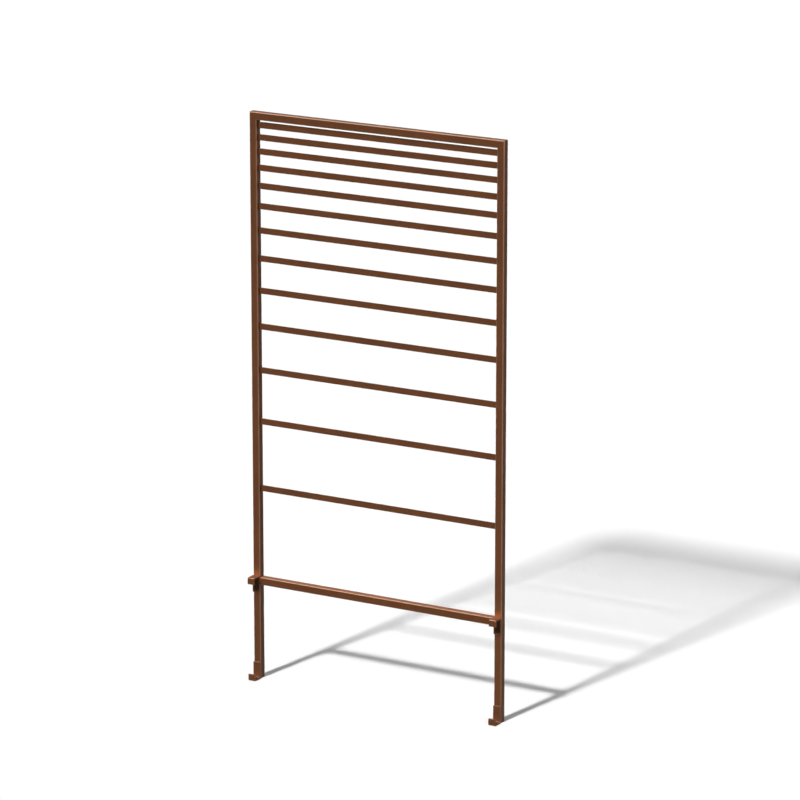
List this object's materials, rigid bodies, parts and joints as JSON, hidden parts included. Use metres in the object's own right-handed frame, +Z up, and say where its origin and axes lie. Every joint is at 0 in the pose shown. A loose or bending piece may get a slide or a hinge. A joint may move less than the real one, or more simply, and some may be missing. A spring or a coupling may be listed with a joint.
{
  "type": "planter trellis",
  "caption": "Tall welded steel trellis with flat slats that close up towards the top, rim hooks and toe feet that hold it to a planter.",
  "frame": {"origin": "middle of the footprint, on the ground, between the hooks' lips and the back of the legs", "axes": "+Z up; X across the width; -Y towards the planter that the hooks and feet hold"},
  "size_m": [0.9144, 0.0614, 1.8744],
  "materials": {
    "coated_steel": "rust-brown powder coat, satin with a fine grain",
    "plug_plastic": "moulded black plastic"
  },
  "bodies": {
    "root": {"left_leg": "coated_steel", "right_leg": "coated_steel", "top_rail": "coated_steel", "slat_01": "coated_steel", "slat_02": "coated_steel", "slat_03": "coated_steel", "slat_04": "coated_steel", "slat_05": "coated_steel", "slat_06": "coated_steel", "slat_07": "coated_steel", "slat_08": "coated_steel", "slat_09": "coated_steel", "slat_10": "coated_steel", "slat_11": "coated_steel", "slat_12": "coated_steel", "slat_13": "coated_steel", "crossbar": "coated_steel", "left_hook": "coated_steel", "right_hook": "coated_steel", "left_foot": "coated_steel", "right_foot": "coated_steel", "left_leg_plug": "plug_plastic", "right_leg_plug": "plug_plastic"}
  },
  "joints": []
}
